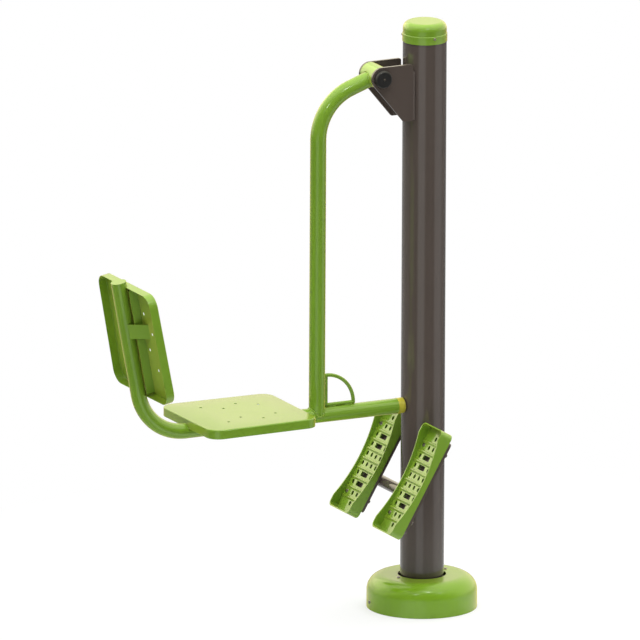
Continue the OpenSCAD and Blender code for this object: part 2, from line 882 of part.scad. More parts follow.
module pedal_bolts() {
  color(zinc)
  at_pedal_bolts() difference() {
    union() {
      translate([0, 0, -pedal_bolt[2]])
        cylinder(d1 = pedal_bolt[1] * head_taper, d2 = pedal_bolt[1], h = pedal_bolt[2], $fn = 48);
      translate([0, 0, -cut]) cylinder(d = pedal_bolt[0], h = pedal_bolt_l + cut, $fn = 32);
    }
    translate([0, 0, -pedal_bolt[2] * (1 + socket_floor)])
      cylinder(d = pedal_bolt[0] * socket_across, h = pedal_bolt[2], $fn = 6);
  }
}

module pedal_washers() {
  color(zinc)
  at_pedal_bolts() translate([0, 0, pedal_stack + pedal_washer_t / 2])
    ring(pedal_washer_d / 2, pedal_bolt[0] / 2 + fit_gap, pedal_washer_t);
}

module pedal_nuts() {
  color(zinc)
  at_pedal_bolts() translate([0, 0, pedal_stack + pedal_washer_t]) difference() {
    cylinder(d = pedal_nut_flats / cos(30), h = pedal_nut_t, $fn = 6);
    translate([0, 0, -cut]) cylinder(d = pedal_bolt[0], h = pedal_nut_t + 2 * cut, $fn = 32);
  }
}

module bar_rod(r, l) {
  translate([bar_x, 0, bar_z]) rotate([90, 0, 0]) cylinder(r = r, h = l, center = true);
}

module pedal_crossbar() {
  color(brown_grey)
  difference() {
    bar_rod(bar_r, bar_l);
    bar_rod(bar_r - bar_wall, bar_l + 2 * cut);
  }
}

module crossbar_plugs() {
  color(black)
  for (s = [-1, 1])
    translate([bar_x, s * bar_l / 2, bar_z]) rotate([-s * 90, 0, 0]) {
      cylinder(r = bar_r, h = plug_t);
      translate([0, 0, -plug_depth]) cylinder(r = bar_r - bar_wall, h = plug_depth + cut);
    }
}

// Weld beads of the fixed frame

module cheek_seam(y) {
  seam_r = (cheek_t + cheek_weld_over) / 2;
  translate([-cheek_rear + seam_r - cheek_weld_over, y, cheek_bottom + cheek_weld_rise])
    cylinder(r = seam_r, h = cheek_h - cheek_relief - cheek_weld_rise, $fn = 32);
}

module frame_welds() {
  color(brown_grey)
  difference() {
    union() {
      for (s = [-1, 1]) cheek_seam(s * (cheek_in + cheek_t / 2));
      translate([bar_x, -post_weld_l / 2, bar_z - bar_weld_h / 2])
        cube([bar_r + weld_root + bar_weld_deep, post_weld_l, bar_weld_h]);
      for (side = [-1, 1])
        at_pedal(side)
          translate([pedal_stack, side * (plate_weld_out - plate_weld_in) / 2, bar_along])
            translate([0, -(plate_weld_out + plate_weld_in) / 2, -bar_weld_h / 2])
              cube([weld_root + bar_weld_deep, plate_weld_out + plate_weld_in, bar_weld_h]);
      translate([0, 0, plate_t]) rotate_extrude()
        polygon([[post_r - cut, 0], [post_r + base_weld, 0], [post_r, base_weld], [post_r - cut, base_weld]]);
    }
    translate([0, 0, -cut]) cylinder(r = post_r, h = post_top);
    bar_rod(bar_r, bar_l + 2 * cut);
    cheek_plate(cheek_in);
    cheek_plate(-cheek_out);
    base_ribs();
  }
}

// Swing

module swing_arm() {
  color(green)
  difference() {
    translate([arm_x, 0, beam_z]) bent_rod(arm_d, arm_rise, arm_bend_r, arm_turn, arm_end_run);
    translate([arm_x, 0, beam_z - cut])
      bent_rod(arm_d - 2 * tube_wall, arm_rise + cut, arm_bend_r, arm_turn, arm_end_run);
    translate([arm_x, 0, beam_z]) rotate([0, 90, 0]) cylinder(r = frame_r, h = 2 * arm_d, center = true);
    translate([pivot_x, 0, pivot_z]) rotate([90, 0, 0]) cylinder(r = hub_r, h = cheek_gap, center = true);
  }
}

// A quarter circle of round bar, closed by a leg along the arm and a leg along the beam
module corner_brace() {
  corner_x = arm_x + arm_r + brace_bar_r;
  corner_z = beam_z + frame_r + brace_bar_r;
  color(green)
  translate([corner_x, 0, corner_z]) {
    rotate([90, 0, 0]) rotate_extrude(angle = 90) translate([brace_r, 0]) circle(r = brace_bar_r, $fn = 48);
    cylinder(r = brace_bar_r, h = brace_r, $fn = 48);
    rotate([0, 90, 0]) cylinder(r = brace_bar_r, h = brace_r, $fn = 48);
    for (p = [[0, 0], [brace_r, 0], [0, brace_r]])
      translate([p[0], 0, p[1]]) sphere(r = brace_bar_r, $fn = 48);
  }
}

// Puts a child that is drawn along z, and bends towards +x, in the seat frame's place
module at_beam() {
  translate([beam_start, 0, beam_z]) rotate([0, -90, 0]) children();
}

module seat_frame_tube() {
  color(green)
  at_beam() difference() {
    bent_rod(frame_d, beam_run, frame_bend_r, frame_turn, back_run - end_disc_t);
    translate([0, 0, -cut])
      bent_rod(2 * frame_bore_r, beam_run + cut, frame_bend_r, frame_turn, back_run);
  }
}

// Puts a child in the place of the tube's top end, with z along the tube and x to the sitter
module at_frame_end() {
  at_beam() translate([frame_bend_r * (1 - cos(frame_turn)), 0, beam_run + frame_bend_r * sin(frame_turn)])
    rotate([0, frame_turn, 0]) translate([0, 0, back_run]) children();
}

module frame_end_disc() {
  color(green) at_frame_end() translate([0, 0, -end_disc_t]) cylinder(r = frame_r, h = end_disc_t);
}

module bumper() {
  color(yellow)
  translate([beam_start, 0, beam_z]) rotate([0, 90, 0]) union() {
    cylinder(r = bumper_r, h = bumper_l - bumper_bevel);
    translate([0, 0, bumper_l - bumper_bevel])
      cylinder(r1 = bumper_r, r2 = bumper_r - bumper_bevel, h = bumper_bevel);
    translate([0, 0, -bumper_spigot])
      cylinder(r = frame_bore_r - bumper_spigot_gap, h = bumper_spigot + cut);
  }
}

// Pans

// The pans' outline, which narrows towards +x, drawn smaller by inset
module pan_outline(l, inset) {
  end = l / 2 - inset;
  wide = pan_w / 2 - inset;
  narrow = pan_w_narrow / 2 - inset;
  r = pan_corner - inset;
  rounded_outline([[-end, -wide], [end, -narrow], [end, narrow], [-end, wide]], [r, r, r, r]);
}

// A tray with its open side at -z; its rims at both ends of x have notches for the tube
// Its rows of drain holes are wide and narrow by turns, from the -x end
module pan(l) {
  difference() {
    translate([0, 0, -pan_rim]) linear_extrude(height = pan_rim) pan_outline(l, 0);
    translate([0, 0, -pan_rim - cut]) linear_extrude(height = pan_rim - pan_t + cut) pan_outline(l, pan_t);
    translate([0, 0, -pan_drop]) rotate([0, 90, 0])
      cylinder(r = frame_r + fit_gap, h = l + 2 * cut, center = true);
    for (i = [0:drain_rows - 1], s = [-1, 1])
      translate([
        drain_shift + (i - (drain_rows - 1) / 2) * drain_pitch,
        s * (i % 2 == 0 ? drain_outer : drain_inner),
        -pan_t - cut
      ])
        cylinder(d = drain_d, h = pan_t + 2 * cut, $fn = 48);
  }
}

// A channel whose web lies on the pan and whose legs stand beside the tube
module pan_channel(pan_l) {
  l = pan_l - 2 * pan_t - 2 * channel_end_gap;
  leg = pan_rim - pan_t;
  translate([-l / 2, -channel_w / 2, -pan_t - channel_t]) cube([l, channel_w, channel_t]);
  for (s = [-1, 1])
    translate([-l / 2, s * (channel_w - channel_t) / 2 - channel_t / 2, -pan_t - leg])
      cube([l, channel_t, leg]);
}

// Two plates that run from the tube's sides out to the pan, on both sides of the channel
module pan_strap() {
  foot = [strap_reach, -pan_t];
  side = [cos(strap_turn), -sin(strap_turn)] * frame_r - [0, pan_drop];
  along = unit(foot - side);
  across = [along[1], -along[0]] * channel_t;
  low = side - along * channel_t;
  rotate([90, 0, 90]) linear_extrude(height = strap_l, center = true)
    for (s = [-1, 1])
      difference() {
        polygon([for (p = [foot, low, low + across, foot + [channel_t / along[1], 0]]) [s * p[0], p[1]]]);
        translate([0, -pan_drop]) circle(r = frame_r);
      }
}

module at_seat() {
  translate([-seat_reach, 0, seat_top]) children();
}

// The backrest's place: x points up the back, z to the sitter
module at_back() {
  at_frame_end() translate([pan_drop, 0, -back_head - back_l / 2])
    rotate([0, 90, 0]) rotate([0, 0, 180]) children();
}

module seat_pan() {
  color(green) at_seat() pan(seat_l);
}

module seat_channel() {
  color(green) at_seat() pan_channel(seat_l);
}

module seat_strap() {
  color(green) at_seat() pan_strap();
}

module back_pan() {
  color(green) at_back() pan(back_l);
}

module back_channel() {
  color(green) at_back() pan_channel(back_l);
}

module back_strap() {
  color(green) at_back() translate([strap_rise, 0, 0]) pan_strap();
}

base_plate();
base_ribs();
post_tube();
base_cover_near();
base_cover_far();
cover_top_screws();
cover_side_screws();
post_cap();
cap_screws();
cheek_plate_near();
cheek_plate_far();
pivot_shaft();
shaft_washers();
shaft_bolts();
pivot_cover_near();
pivot_cover_far();
pivot_cover_screws();
bearing_inner_rings();
bearing_inner_spacer();
bearing_end_spacers();
pedal_crossbar();
crossbar_plugs();
pedal_mount_near();
pedal_mount_far();
foot_pedal_near();
foot_pedal_far();
pedal_bolts();
pedal_washers();
pedal_nuts();
frame_welds();
pivot_hub();
bearing_outer_rings();
bearing_balls();
bearing_cages();
bearing_shields();
swing_arm();
corner_brace();
seat_frame_tube();
frame_end_disc();
bumper();
seat_pan();
seat_channel();
seat_strap();
back_pan();
back_channel();
back_strap();
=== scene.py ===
import bpy
import bmesh
import json
import math
from mathutils import Matrix, Vector


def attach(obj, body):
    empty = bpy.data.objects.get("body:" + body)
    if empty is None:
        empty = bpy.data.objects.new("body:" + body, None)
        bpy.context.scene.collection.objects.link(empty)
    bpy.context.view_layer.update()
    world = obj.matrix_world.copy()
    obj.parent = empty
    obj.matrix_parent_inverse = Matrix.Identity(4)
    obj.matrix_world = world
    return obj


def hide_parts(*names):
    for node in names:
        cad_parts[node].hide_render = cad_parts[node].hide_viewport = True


# Looks, welds, pans, light and view of the outdoor leg press machine, round its CAD nodes.
# All lengths are in metres, in the frame of the CAD: x from the seat to the post, y to the far
# side, z up.

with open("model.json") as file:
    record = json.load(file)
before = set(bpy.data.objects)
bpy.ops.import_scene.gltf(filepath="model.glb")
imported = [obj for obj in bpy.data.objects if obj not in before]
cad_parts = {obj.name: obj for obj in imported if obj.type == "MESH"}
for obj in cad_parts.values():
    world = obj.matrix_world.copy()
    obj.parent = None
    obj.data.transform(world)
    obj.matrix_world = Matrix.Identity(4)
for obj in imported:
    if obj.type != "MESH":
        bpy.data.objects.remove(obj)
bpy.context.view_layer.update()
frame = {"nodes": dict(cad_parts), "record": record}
NODES = frame["nodes"]
scene = bpy.context.scene
scene.view_settings.view_transform = "Standard"
WHITE = (1.0, 1.0, 1.0)

# Node trees


class Graph:
    """A small helper for building the node tree of a material or of the world."""

    def __init__(self, owner, output="ShaderNodeOutputMaterial"):
        owner.use_nodes = True
        self.owner = owner
        self.tree = owner.node_tree
        self.tree.nodes.clear()
        self.out = self.tree.nodes.new(output)

    def node(self, kind, inputs, **settings):
        """A new node with these settings, and with these values or links as its inputs."""
        n = self.tree.nodes.new(kind)
        for key, value in settings.items():
            setattr(n, key, value)
        for key, value in inputs.items():
            socket = n.inputs[key]
            if isinstance(value, bpy.types.NodeSocket):
                self.tree.links.new(value, socket)
            elif socket.type == "RGBA":
                socket.default_value = (*value, 1.0)
            else:
                socket.default_value = value
        return n

    def coords(self, kind="Object"):
        return self.node("ShaderNodeTexCoord", {}).outputs[kind]

    def noise(self, scale, detail, rough=0.5):
        """Noise in the object's own coordinates, with about scale waves to a metre."""
        return self.node("ShaderNodeTexNoise", {
            "Vector": self.coords(), "Scale": scale, "Detail": detail, "Roughness": rough,
        }).outputs["Fac"]

    def ramp(self, value, stops):
        """Turns a value into a colour by stops of place and colour."""
        n = self.node("ShaderNodeValToRGB", {"Fac": value})
        elements = n.color_ramp.elements
        while len(elements) < len(stops):
            elements.new(0.5)
        for element, (place, colour) in zip(elements, stops):
            element.position = place
            element.color = (*colour, 1.0)
        return n.outputs["Color"]

    def spread(self, value, low, high, start=0.3, stop=0.7, **settings):
        """Maps what lies between start and stop onto low to high."""
        return self.node("ShaderNodeMapRange", {
            "Value": value, "From Min": start, "From Max": stop, "To Min": low, "To Max": high,
        }, **settings).outputs["Result"]

    def mix(self, share, a, b):
        """Mixes two colours."""
        return self.node("ShaderNodeMix", {"Factor": share, "A": a, "B": b},
                         data_type="RGBA").outputs["Result"]

    def calc(self, operation, *values):
        return self.node("ShaderNodeMath", dict(enumerate(values)),
                         operation=operation).outputs[0]

    def bump(self, height, strength, depth, below=None):
        """A bumped normal, laid over the one below if there is one."""
        inputs = {"Height": height, "Strength": strength, "Distance": depth}
        if below is not None:
            inputs["Normal"] = below
        return self.node("ShaderNodeBump", inputs).outputs["Normal"]

    def blend(self, share, a, b):
        """Mixes two shaders."""
        return self.node("ShaderNodeMixShader", {0: share, 1: a, 2: b}).outputs[0]

    def finish(self, shader):
        """Ends the tree with this shader and returns the material or world."""
        self.tree.links.new(shader, self.out.inputs["Surface"])
        return self.owner

    def principled(self, inputs):
        """Ends the tree with a Principled shader that has these inputs."""
        return self.finish(self.node("ShaderNodeBsdfPrincipled", inputs).outputs[0])


# Materials

# Scales of the paint's colour drift and of its duller patches, in waves to a metre
DRIFT_SCALE, PATCH_SCALE = 5.0, 38.0
# The paint's orange peel, fine and slow: waves to a metre, strength and depth
PEEL = ((420.0, 0.01225, 0.0006), (55.0, 0.021, 0.0016))
# On edges that point out this much the film is thinner, and the pale colour has up to this share
EDGE_FROM, EDGE_TO, EDGE_SHARE = 0.53, 0.62, 0.35
PAINT_IOR, COAT_ROUGH, SHEEN_ROUGH = 1.5, 0.06, 0.35

# Metal: scales of the plating's mottle and of its marks, and the marks' bump
MOTTLE_SCALE, MARK_SCALE = 60.0, 260.0
MARK_STRENGTH, MARK_DEPTH = 0.15, 0.0003

# Mouldings: scales of colour, gloss and grain, and the grain's bump
TONE_SCALE, GLOSS_SCALE, GRAIN_SCALE = 30.0, 120.0, 900.0
GRAIN_STRENGTH, GRAIN_DEPTH = 0.2, 0.0003


def paint(name, colour, deep, pale, coat, rough=(0.16, 0.26), sheen=0.0, tint=WHITE):
    """Gloss powder coat: slight colour drift, orange peel, and a paler film on edges."""
    g = Graph(bpy.data.materials.new(name))
    film = g.ramp(g.noise(DRIFT_SCALE, 4.0, 0.55), [(0.30, deep), (0.52, colour)])
    edge = g.node("ShaderNodeNewGeometry", {}).outputs["Pointiness"]
    peel = None
    for scale, strength, depth in PEEL:
        peel = g.bump(g.noise(scale, 2.0), strength, depth, peel)
    return g.principled({
        "Base Color": g.mix(g.spread(edge, 0.0, EDGE_SHARE, EDGE_FROM, EDGE_TO), film, pale),
        "Roughness": g.spread(g.noise(PATCH_SCALE, 5.0, 0.6), *rough),
        "IOR": PAINT_IOR,
        "Coat Weight": coat,
        "Coat Roughness": COAT_ROUGH,
        "Sheen Weight": sheen,
        "Sheen Roughness": SHEEN_ROUGH,
        "Sheen Tint": tint,
        "Normal": peel,
        "Coat Normal": peel,
    })


def metal(name, colour, dark, rough=(0.22, 0.42)):
    """Bright metal with fine marks and a mottled plating."""
    g = Graph(bpy.data.materials.new(name))
    marks = g.noise(MARK_SCALE, 4.0, 0.6)
    return g.principled({
        "Base Color": g.ramp(g.noise(MOTTLE_SCALE, 5.0, 0.6), [(0.35, dark), (0.62, colour)]),
        "Metallic": 1.0,
        "Roughness": g.spread(marks, *rough),
        "Normal": g.bump(marks, MARK_STRENGTH, MARK_DEPTH),
    })


def moulded(name, colour, deep, rough=(0.35, 0.5), coat=0.0):
    """Moulded plastic or rubber with a fine grain."""
    g = Graph(bpy.data.materials.new(name))
    return g.principled({
        "Base Color": g.ramp(g.noise(TONE_SCALE, 4.0, 0.6), [(0.35, deep), (0.65, colour)]),
        "Roughness": g.spread(g.noise(GLOSS_SCALE, 4.0, 0.6), *rough),
        "Coat Weight": coat,
        "Normal": g.bump(g.noise(GRAIN_SCALE, 2.0), GRAIN_STRENGTH, GRAIN_DEPTH),
    })


GREEN = paint("green_paint", (0.157, 0.300, 0.018), (0.143, 0.279, 0.016), (0.24, 0.40, 0.06),
              coat=0.7, sheen=0.8, tint=(1.0, 0.72, 0.14))
# Painted light: a lighter copy of the green for the base covers, making up for the shade that
# post, pedals and crossbar cast on them
COVER_LIT_PAINT = paint("green_cover_painted_light", (0.195, 0.385, 0.014), (0.180, 0.360, 0.012), (0.27, 0.46, 0.06),
              coat=0.35, sheen=0.8, tint=(1.0, 0.80, 0.20))
POST = paint("post_paint", (0.070, 0.053, 0.045), (0.063, 0.048, 0.040), (0.12, 0.10, 0.085),
             coat=0.5, rough=(0.09, 0.12))
ZINC = metal("zinc", (0.42, 0.39, 0.38), (0.30, 0.27, 0.26))
STAINLESS = metal("pale_screws", (0.62, 0.62, 0.58), (0.52, 0.52, 0.48), rough=(0.45, 0.6))
STEEL = metal("bearing_steel", (0.70, 0.71, 0.72), (0.60, 0.61, 0.62), rough=(0.12, 0.25))
BLACK = moulded("black_plastic", (0.016, 0.016, 0.016), (0.010, 0.010, 0.010), coat=0.2)
SEAL = moulded("seal_rubber", (0.02, 0.02, 0.02), (0.012, 0.012, 0.012), rough=(0.5, 0.7))
CAGE = moulded("cage_plastic", (0.55, 0.48, 0.30), (0.45, 0.38, 0.22))
BUMPER = moulded("bumper_rubber", (0.46, 0.42, 0.028), (0.40, 0.36, 0.023),
                 rough=(0.3, 0.45), coat=0.3)

SLOT_MATERIAL = {
    "green_paint": GREEN, "post_paint": POST, "zinc": ZINC, "bearing_steel": STEEL,
    "black_plastic": BLACK, "seal_rubber": SEAL, "cage_plastic": CAGE, "bumper_rubber": BUMPER,
}
# Nodes that look different from the rest of their slot: the cap's paler screws, and the base
# covers, whose lighter green is painted light against the shade of post and pedals
OWN_MATERIAL = {"cap_screws": STAINLESS, "base_cover_near": COVER_LIT_PAINT, "base_cover_far": COVER_LIT_PAINT}
NODE_SLOT = {s["node"]: s["material_slot"] for s in frame["record"]["subparts"]}


def dress_nodes():
    for name, obj in NODES.items():
        obj.data.materials.clear()
        obj.data.materials.append(OWN_MATERIAL.get(name, SLOT_MATERIAL[NODE_SLOT[name]]))


# Rounded edges: modifiers on the CAD nodes, which leave their meshes alone

EDGE_ANGLE = math.radians(35.0)
# Nodes, width of the rounding, and its segments
ROUNDED = (
    (("foot_pedal_near", "foot_pedal_far"), 0.0015, 3),
    (("cheek_plate_near", "cheek_plate_far"), 0.0012, 3),
    (("pedal_mount_near", "pedal_mount_far"), 0.0010, 3),
    (("base_cover_near", "base_cover_far", "post_cap"), 0.0006, 2),
    (("bumper", "frame_end_disc"), 0.0008, 2),
)


def round_edges():
    """Rounds the edges that catch the light as formed or coated ones do."""
    for names, width, segments in ROUNDED:
        for name in names:
            m = NODES[name].modifiers.new("edges", "BEVEL")
            m.width = width
            m.segments = segments
            m.limit_method = "ANGLE"
            m.angle_limit = EDGE_ANGLE
            m.harden_normals = True
            m.use_clamp_overlap = True


def new_object(name, bm):
    """A new object in the scene, made of a bmesh that it uses up."""
    mesh = bpy.data.meshes.new(name)
    bm.to_mesh(mesh)
    bm.free()
    ob = bpy.data.objects.new(name, mesh)
    scene.collection.objects.link(ob)
    return ob


# Weld beads of the swing

RIPPLE = 0.0032  # length of one ripple
RIPPLE_STEPS, BEAD_SIDES = 6, 12
# A ripple swells from the first share of the bead's radius by the second
RIPPLE_LOW, RIPPLE_RISE = 0.86, 0.20
# An open end starts at this share of the radius and is full after so many radii
END_LOW, END_LENGTH = 0.35, 1.6
MIN_STEPS, MIN_RIPPLES = 12, 3

# The swing's axis, the radii of its round parts, and where arm and beam run
PIVOT = Vector((-0.175, 0.0, 1.770))
HUB_R, ARM_R, BEAM_R, BRACE_R = 0.036, 0.026, 0.025, 0.006
ARM_X, BEAM_Z = -0.379, 0.6695
ARM_SLOPE = math.radians(19.3)
BRACE_X, BRACE_Z = ARM_X + ARM_R + BRACE_R, BEAM_Z + BEAM_R + BRACE_R

RING_WELD_R, BRACE_WELD_R = 0.0030, 0.0022
RING_POINTS = 72
# How far the beads' middles lie off the metal
HUB_WELD_LIFT, BEAM_WELD_LIFT, BRACE_WELD_LIFT = 0.0006, 0.0004, 0.0010
# The brace's short beads on either bar, from and to, measured from its corner
BRACE_WELDS = ((0.010, 0.034), (0.066, 0.092))


def even_steps(points, closed):
    """Places at even steps along a line, each with its way along, the whole way, and the pitch."""
    pts = [Vector(p) for p in points]
    if closed:
        pts.append(pts[0].copy())
    ways = [0.0]
    for a, b in zip(pts, pts[1:]):
        ways.append(ways[-1] + (b - a).length)
    total = ways[-1]
    if closed:
        ripples = max(MIN_RIPPLES, round(total / RIPPLE))
        pitch, steps, count = total / ripples, ripples * RIPPLE_STEPS, ripples * RIPPLE_STEPS
    else:
        steps = max(MIN_STEPS, int(total / RIPPLE * RIPPLE_STEPS))
        pitch, count = RIPPLE, steps + 1
    places = []
    j = 0
    for i in range(count):
        way = total * i / steps
        while j < len(ways) - 2 and ways[j + 1] < way:
            j += 1
        share = (way - ways[j]) / max(ways[j + 1] - ways[j], 1e-9)
        places.append((pts[j].lerp(pts[j + 1], share), way))
    return places, total, pitch


def bead_size(radius, way, total, pitch, closed):
    """The bead's radius at one place along it."""
    size = radius * (RIPPLE_LOW + RIPPLE_RISE * ((way / pitch) % 1.0))
    if closed:
        return size
    to_end = max(min(way, total - way), 0.0)
    return size * min(1.0, END_LOW + (1 - END_LOW) * math.sqrt(to_end / (radius * END_LENGTH)))


def bead(name, points, radius, body, slot, closed=False):
    """A weld bead along a line: a round cord whose ripples follow each other like scales."""
    places, total, pitch = even_steps(points, closed)
    n = len(places)
    bm = bmesh.new()
    rings = []
    side = None
    for i, (middle, way) in enumerate(places):
        before = places[(i - 1) % n][0] if closed or i else middle
        after = places[(i + 1) % n][0] if closed or i < n - 1 else middle
        tangent = (after - before).normalized()
        if side is None:
            side = tangent.orthogonal().normalized()
        side = (side - tangent * side.dot(tangent)).normalized()
        other = tangent.cross(side)
        size = bead_size(radius, way, total, pitch, closed)
        angles = [2 * math.pi * k / BEAD_SIDES for k in range(BEAD_SIDES)]
        rings.append([bm.verts.new(middle + (side * math.cos(a) + other * math.sin(a)) * size)
                      for a in angles])
    for i in range(n if closed else n - 1):
        a, b = rings[i], rings[(i + 1) % n]
        for k in range(BEAD_SIDES):
            m = (k + 1) % BEAD_SIDES
            bm.faces.new((a[k], a[m], b[m], b[k]))
    if not closed:
        bm.faces.new(list(reversed(rings[0])))
        bm.faces.new(rings[-1])
    bmesh.ops.recalc_face_normals(bm, faces=bm.faces)
    for f in bm.faces:
        f.smooth = True
    ob = new_object(name, bm)
    ob.data.materials.append(SLOT_MATERIAL[slot])
    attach(ob, body)


def circle(radius):
    """Points round a circle, as pairs."""
    angles = [2 * math.pi * i / RING_POINTS for i in range(RING_POINTS)]
    return [(radius * math.cos(a), radius * math.sin(a)) for a in angles]


def weld_arm_to_hub():
    along = Vector((math.cos(ARM_SLOPE), 0, math.sin(ARM_SLOPE)))
    over = Vector((-math.sin(ARM_SLOPE), 0, math.cos(ARM_SLOPE)))
    line = [PIVOT - along * math.sqrt(HUB_R ** 2 - z ** 2) + over * z + Vector((0, y, 0))
            for y, z in circle(ARM_R + HUB_WELD_LIFT)]
    bead("weld_arm_to_hub", line, RING_WELD_R, "swing_seat", "green_paint", closed=True)


def weld_arm_to_beam():
    line = [(ARM_X + x, y, BEAM_Z + math.sqrt(max(BEAM_R ** 2 - y ** 2, 0.0)))
            for x, y in circle(ARM_R + BEAM_WELD_LIFT)]
    bead("weld_arm_to_beam", line, RING_WELD_R, "swing_seat", "green_paint", closed=True)


def valley(big, small):
    """Where a bead lies between two touching round bars: along and beside their middles' line."""
    a, b, apart = big + BRACE_WELD_LIFT, small + BRACE_WELD_LIFT, big + small
    along = (a * a - b * b + apart * apart) / (2 * apart)
    return along, math.sqrt(a * a - along * along)


def welds_of_brace():
    """Short beads on both sides of the brace's two legs, on the arm and on the beam."""
    for bar, bar_r in (("arm", ARM_R), ("beam", BEAM_R)):
        along, beside = valley(bar_r, BRACE_R)
        for k, span in enumerate(BRACE_WELDS, 1):
            for side, s in (("near", -1), ("far", 1)):
                if bar == "arm":
                    line = [(ARM_X + along, s * beside, BRACE_Z + way) for way in span]
                else:
                    line = [(BRACE_X + way, s * beside, BEAM_Z + along) for way in span]
                bead("weld_brace_%s_%d_%s" % (bar, k, side), line,
                     BRACE_WELD_R, "swing_seat", "green_paint")


# Seat and backrest: pressed sheet pans with rounded edges

# A pan's width at its rear and front end, the corners' radius, the rim's height and the sheet
PAN_WIDE, PAN_NARROW, PAN_CORNER, PAN_RIM, PAN_T = 0.385, 0.367, 0.042, 0.030, 0.0015
PAN_EDGE = 0.0045  # outer radius of the pressed edge
PAN_LIP = 0.0004  # the rim's lower edge is broken by this much
PAN_SUNK = 0.0135  # how deep the tube sits in the rim
PAN_DROP = PAN_RIM - PAN_SUNK + BEAM_R  # from a pan's face to the tube's middle
EDGE_STEPS, CORNER_STEPS = 6, 9
SHARP = math.radians(40)  # folds from this angle on are shaded as sharp
SEAT_LENGTH, BACK_LENGTH = 0.388, 0.373

# Drain holes, in rows of two that are set wide and narrow by turns
HOLE_R, HOLE_SIDES, HOLE_CUT = 0.005, 32, 0.008
HOLE_ROWS, HOLE_PITCH, HOLE_SHIFT = 4, 0.062, 0.003
HOLE_ASIDE = (0.101, 0.062)
# The notch for the tube: room round it, how far the cut goes past the pan, and its sides
NOTCH_ROOM, NOTCH_PAST, NOTCH_SIDES = 0.0003, 0.01, 64

# The seat's middle, the tube's bend, the straight tube over it, and how far that stands over
# the backrest
SEAT_X = -0.654
BEND_X, BEND_R = -0.8503, 0.170
BACK_TUBE, BACK_TOP_GAP = 0.388, 0.017
LEAN = math.radians(11.0)
UP_BACK = Vector((-math.sin(LEAN), 0, math.cos(LEAN)))
TO_SITTER = Vector((math.cos(LEAN), 0, math.sin(LEAN)))


def pan_loop(length, inset):
    """The pan's outline, drawn smaller by inset, as points that go round."""
    end, wide, narrow = length / 2 - inset, PAN_WIDE / 2 - inset, PAN_NARROW / 2 - inset
    r = PAN_CORNER - inset
    corners = [Vector(c) for c in ((-end, -wide), (end, -narrow), (end, narrow), (-end, wide))]
    points = []
    for i in range(4):
        a, b, c = corners[i - 1], corners[i], corners[(i + 1) % 4]
        u, v = (a - b).normalized(), (c - b).normalized()
        half = u.angle(v) / 2
        mid = b + (u + v).normalized() * (r / math.sin(half))
        start, stop = b + u * (r / math.tan(half)) - mid, b + v * (r / math.tan(half)) - mid
        first = math.atan2(start.y, start.x)
        sweep = (math.atan2(stop.y, stop.x) - first + math.pi) % (2 * math.pi) - math.pi
        for k in range(CORNER_STEPS + 1):
            t = first + sweep * k / CORNER_STEPS
            points.append((mid.x + r * math.cos(t), mid.y + r * math.sin(t)))
    return points


def pan_profile():
    """The sheet's section as insets and heights: over the edge, down, round the lip and back."""
    def bend(radius, steps):
        angles = [math.pi / 2 * k / EDGE_STEPS for k in steps]
        return [(PAN_EDGE - radius * math.sin(a), -PAN_EDGE + radius * math.cos(a))
                for a in angles]

    lip = [(0.0, -PAN_RIM + PAN_LIP), (PAN_LIP, -PAN_RIM),
           (PAN_T - PAN_LIP, -PAN_RIM), (PAN_T, -PAN_RIM + PAN_LIP)]
    return (bend(PAN_EDGE, range(EDGE_STEPS + 1)) + lip
            + bend(PAN_EDGE - PAN_T, range(EDGE_STEPS, -1, -1)))


def pan_shell(length):
    """A pan without holes, its face at height 0."""
    bm = bmesh.new()
    rings = [[bm.verts.new((x, y, z)) for x, y in pan_loop(length, inset)]
             for inset, z in pan_profile()]
    n = len(rings[0])
    for a, b in zip(rings, rings[1:]):
        for i in range(n):
            bm.faces.new((a[i], b[i], b[(i + 1) % n], a[(i + 1) % n]))
    bm.faces.new(rings[0])
    bm.faces.new(list(reversed(rings[-1])))
    bmesh.ops.recalc_face_normals(bm, faces=bm.faces)
    return bm


def pan_cutter(length):
    """What is cut from a pan: the tube's notch in its rim, and the drain holes."""
    def add_bar(radius, height, place, sides, turn=Matrix.Identity(4)):
        bmesh.ops.create_cone(bm, cap_ends=True, segments=sides, radius1=radius, radius2=radius,
                              depth=height, matrix=Matrix.Translation(place) @ turn)

    bm = bmesh.new()
    add_bar(BEAM_R + NOTCH_ROOM, length + NOTCH_PAST, (0, 0, -PAN_DROP), NOTCH_SIDES,
            Matrix.Rotation(math.pi / 2, 4, "Y"))
    for row in range(HOLE_ROWS):
        x = HOLE_SHIFT + (row - (HOLE_ROWS - 1) / 2) * HOLE_PITCH
        for s in (-1, 1):
            add_bar(HOLE_R, HOLE_CUT, (x, s * HOLE_ASIDE[row % 2], 0), HOLE_SIDES)
    return bm


def pressed_pan(name, node, length, place):
    """A pressed pan in the place of a CAD pan, whose sheet has sharp edges."""
    body = new_object(name, pan_shell(length))
    cut = new_object("cut", pan_cutter(length))
    holes = body.modifiers.new("holes", "BOOLEAN")
    holes.operation, holes.solver, holes.object = "DIFFERENCE", "EXACT", cut
    bpy.context.view_layer.update()
    depsgraph = bpy.context.evaluated_depsgraph_get()
    done = bpy.data.meshes.new_from_object(body.evaluated_get(depsgraph))
    plain = [body.data, cut.data]
    body.modifiers.clear()
    body.data = done
    done.name = name
    bpy.data.objects.remove(cut)
    for mesh in plain:
        bpy.data.meshes.remove(mesh)
    done.transform(place)
    done.materials.clear()
    done.materials.append(GREEN)
    done.shade_smooth()
    done.set_sharp_from_angle(angle=SHARP)
    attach(body, "swing_seat")
    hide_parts(node)


def placed(origin, along, out):
    """The matrix that puts a pan's face at origin, its length along, its face looking out."""
    turn = Matrix((along, out.cross(along), out)).transposed()
    return Matrix.Translation(origin) @ turn.to_4x4()


